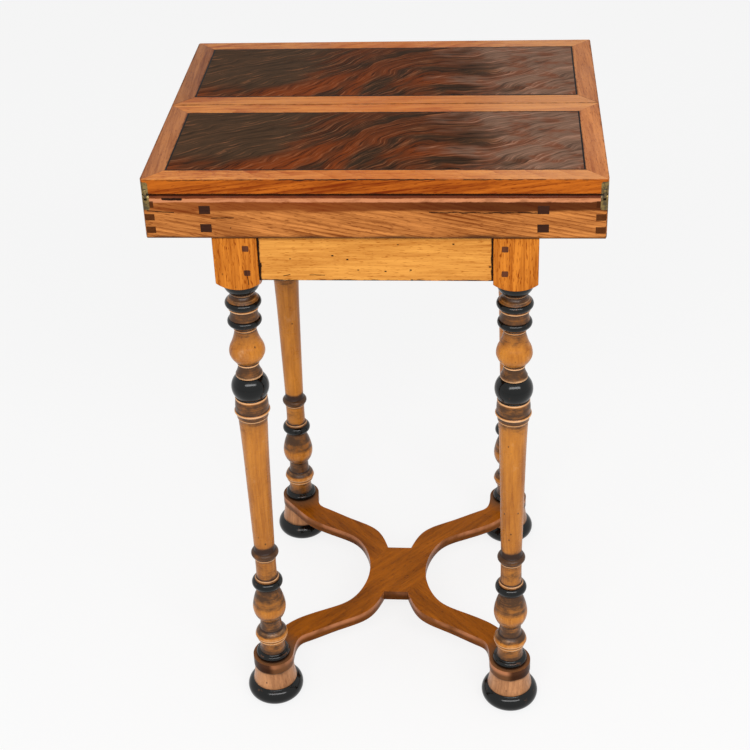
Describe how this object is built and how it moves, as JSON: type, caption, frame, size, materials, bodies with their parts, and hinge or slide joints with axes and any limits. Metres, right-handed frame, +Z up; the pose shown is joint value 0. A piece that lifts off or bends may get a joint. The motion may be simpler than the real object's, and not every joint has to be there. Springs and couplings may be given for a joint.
{
  "type": "folding card table",
  "caption": "Small folding card table: two panelled leaves swing out on link hinges from a finger-jointed box, on turned legs with an apron and a curved cross stretcher.",
  "frame": {"origin": "on the floor, under the middle of the box, with both leaves shut", "axes": "+X to the right along the top's long side, +Y to the rear, +Z up"},
  "size_m": [0.49, 0.405, 0.75],
  "materials": {
    "turned_wood": "waxed satin",
    "ebonised_wood": "glossy black",
    "stretcher_wood": "waxed satin",
    "apron_wood": "waxed satin",
    "peg_wood": "waxed satin",
    "casework_wood": "polished satin",
    "veneer": "polished",
    "string_wood": "polished",
    "baize": "matt woven",
    "lining_felt": "matt felt",
    "hinge_brass": "aged",
    "screw_steel": "aged"
  },
  "bodies": {
    "table_base": {"apron_front": "apron_wood", "apron_left": "apron_wood", "apron_pegs": "peg_wood", "apron_rear": "apron_wood", "apron_right": "apron_wood", "box_bottom": "casework_wood", "box_end_left": "casework_wood", "box_end_right": "casework_wood", "box_front": "casework_wood", "box_hinge_pins": "hinge_brass", "box_hinge_plate_front_left": "hinge_brass", "box_hinge_plate_front_right": "hinge_brass", "box_hinge_plate_rear_left": "hinge_brass", "box_hinge_plate_rear_right": "hinge_brass", "box_hinge_screws": "screw_steel", "box_rear": "casework_wood", "compartment_linings": "lining_felt", "divider_left": "peg_wood", "divider_right": "peg_wood", "foot_front_left": "ebonised_wood", "foot_front_right": "ebonised_wood", "foot_rear_left": "ebonised_wood", "foot_rear_right": "ebonised_wood", "frame_cleat_screws": "screw_steel", "frame_cleats": "apron_wood", "leg_front_left": "turned_wood", "leg_front_right": "turned_wood", "leg_rear_left": "turned_wood", "leg_rear_right": "turned_wood", "stretcher_cross": "stretcher_wood", "stretcher_main": "stretcher_wood"},
    "front_links": {"front_link_left": "hinge_brass", "front_link_right": "hinge_brass"},
    "front_leaf": {"front_leaf_baize": "baize", "front_leaf_hinge_pins": "hinge_brass", "front_leaf_hinge_plate_left": "hinge_brass", "front_leaf_hinge_plate_right": "hinge_brass", "front_leaf_hinge_screws": "screw_steel", "front_leaf_inner_rail": "casework_wood", "front_leaf_left_stile": "casework_wood", "front_leaf_outer_rail": "casework_wood", "front_leaf_panel": "veneer", "front_leaf_right_stile": "casework_wood", "front_leaf_stringing": "string_wood"},
    "rear_links": {"rear_link_left": "hinge_brass", "rear_link_right": "hinge_brass"},
    "rear_leaf": {"rear_leaf_baize": "baize", "rear_leaf_hinge_pins": "hinge_brass", "rear_leaf_hinge_plate_left": "hinge_brass", "rear_leaf_hinge_plate_right": "hinge_brass", "rear_leaf_hinge_screws": "screw_steel", "rear_leaf_inner_rail": "casework_wood", "rear_leaf_left_stile": "casework_wood", "rear_leaf_outer_rail": "casework_wood", "rear_leaf_panel": "veneer", "rear_leaf_right_stile": "casework_wood", "rear_leaf_stringing": "string_wood"}
  },
  "joints": [
    {"name": "front_link_fold", "type": "hinge", "parent": "table_base", "child": "front_links", "pos_m": [0, -0.193, 0.7288], "axis": [1, 0, 0], "range_deg": [0, 90]},
    {"name": "front_leaf_fold", "type": "hinge", "parent": "front_links", "child": "front_leaf", "pos_m": [0, -0.193, 0.7361], "axis": [1, 0, 0], "range_deg": [0, 90]},
    {"name": "rear_link_fold", "type": "hinge", "parent": "table_base", "child": "rear_links", "pos_m": [0, 0.193, 0.7288], "axis": [-1, 0, 0], "range_deg": [0, 90]},
    {"name": "rear_leaf_fold", "type": "hinge", "parent": "rear_links", "child": "rear_leaf", "pos_m": [0, 0.193, 0.7361], "axis": [-1, 0, 0], "range_deg": [0, 90]}
  ],
  "couplings": [
    {"joint": "front_link_fold", "follows": "front_leaf_fold", "ratio": 1},
    {"joint": "rear_link_fold", "follows": "rear_leaf_fold", "ratio": 1}
  ]
}
